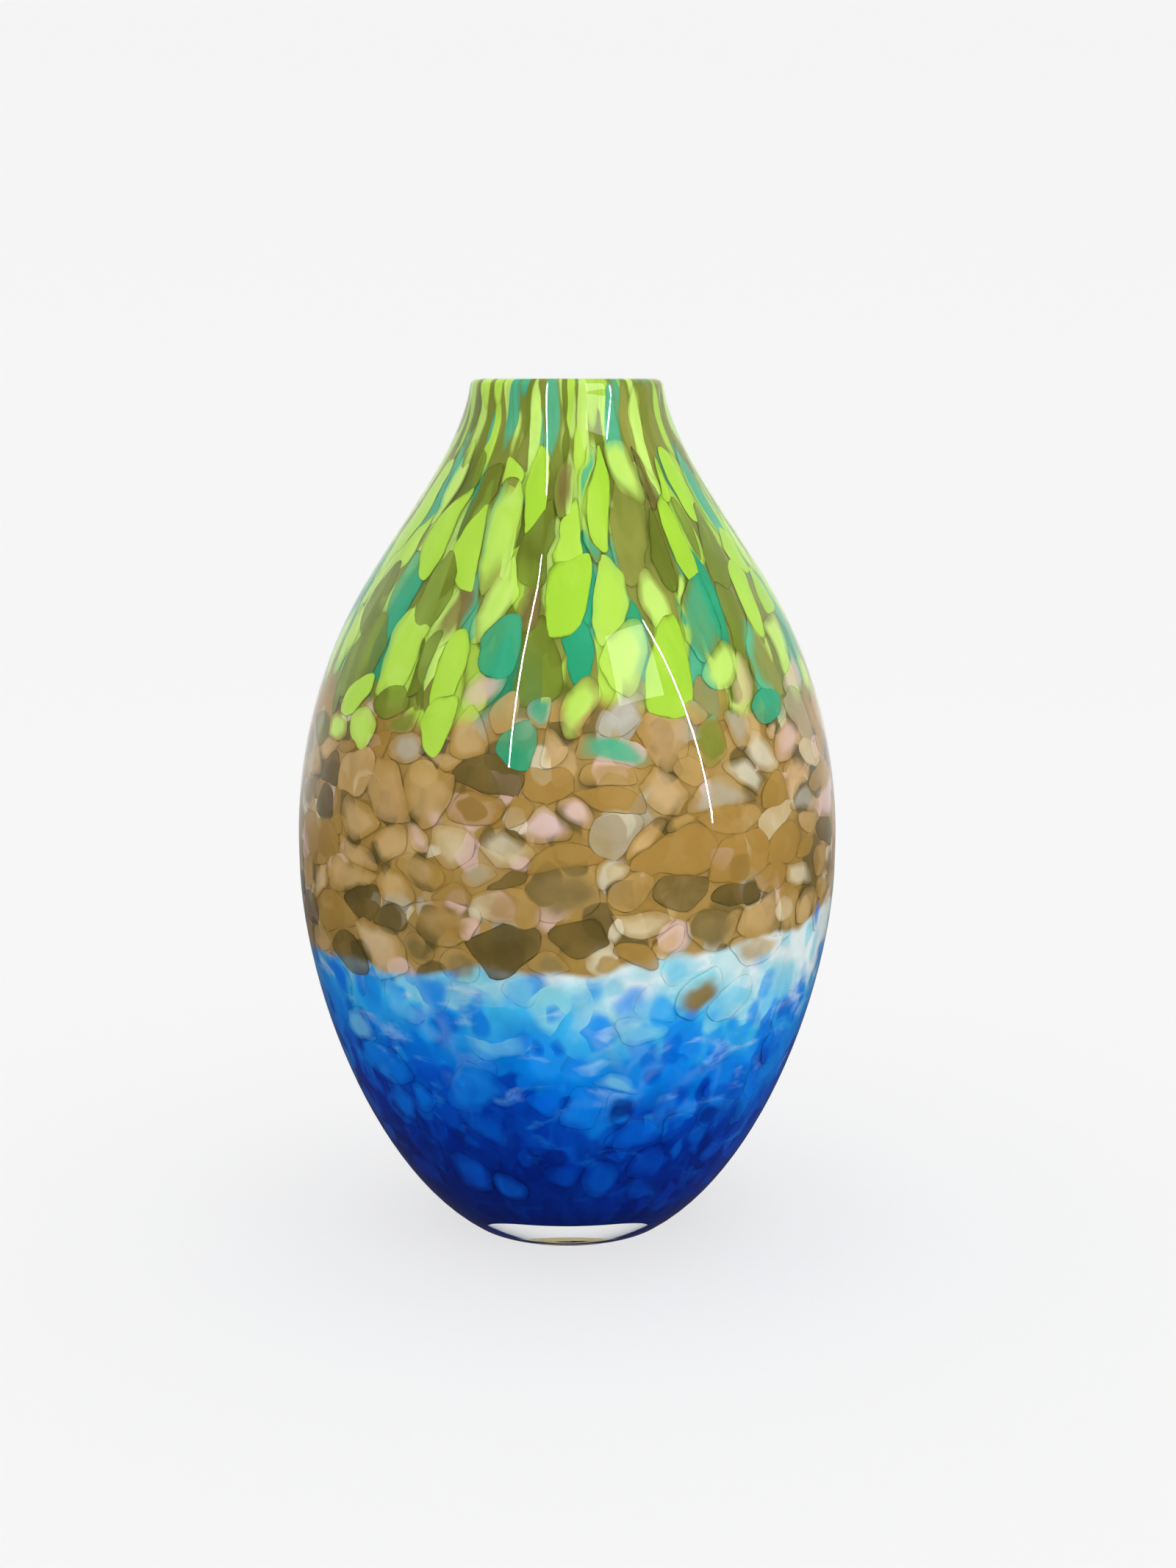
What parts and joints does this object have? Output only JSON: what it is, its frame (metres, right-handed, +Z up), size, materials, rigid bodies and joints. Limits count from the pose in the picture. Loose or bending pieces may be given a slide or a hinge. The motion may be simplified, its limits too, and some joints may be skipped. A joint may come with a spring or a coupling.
{
  "type": "blown glass vase",
  "caption": "Baluster vase of cased clear glass over blue, honey and lime green chips, with a thick clear heel and a narrow rolled mouth.",
  "frame": {"origin": "centre of the vase's foot, on the plane it stands on", "axes": "+Z up along the vase's axis, out of the mouth; -Y is the front"},
  "size_m": [0.1902, 0.1902, 0.3],
  "materials": {
    "clear_glass": "clear, fire polished, glossy",
    "lining_glass": "clear, fire polished, glossy",
    "cobalt_powder": "coloured glass fused under clear glass",
    "opal_powder": "coloured glass fused under clear glass",
    "honey_powder": "coloured glass fused under clear glass",
    "olive_powder": "coloured glass fused under clear glass",
    "lime_glass": "coloured glass fused under clear glass",
    "teal_glass": "coloured glass fused under clear glass",
    "olive_glass": "coloured glass fused under clear glass",
    "honey_glass": "coloured glass fused under clear glass",
    "amber_glass": "coloured glass fused under clear glass",
    "brown_glass": "coloured glass fused under clear glass",
    "rose_glass": "coloured glass fused under clear glass",
    "grey_glass": "coloured glass fused under clear glass",
    "cream_glass": "coloured glass fused under clear glass",
    "azure_glass": "coloured glass fused under clear glass",
    "turquoise_glass": "coloured glass fused under clear glass",
    "cobalt_glass": "coloured glass fused under clear glass",
    "navy_glass": "coloured glass fused under clear glass",
    "seal_glass": "coloured glass fused under clear glass"
  },
  "bodies": {
    "root": {"outer_casing": "clear_glass", "inner_lining": "lining_glass", "blue_ground": "cobalt_powder", "opal_veil": "opal_powder", "honey_ground": "honey_powder", "olive_ground": "olive_powder", "lime_chips": "lime_glass", "teal_chips": "teal_glass", "olive_chips": "olive_glass", "honey_chips": "honey_glass", "amber_chips": "amber_glass", "brown_chips": "brown_glass", "rose_chips": "rose_glass", "grey_chips": "grey_glass", "cream_chips": "cream_glass", "azure_granules": "azure_glass", "turquoise_granules": "turquoise_glass", "cobalt_granules": "cobalt_glass", "navy_granules": "navy_glass", "pontil_seal": "seal_glass"}
  },
  "joints": []
}
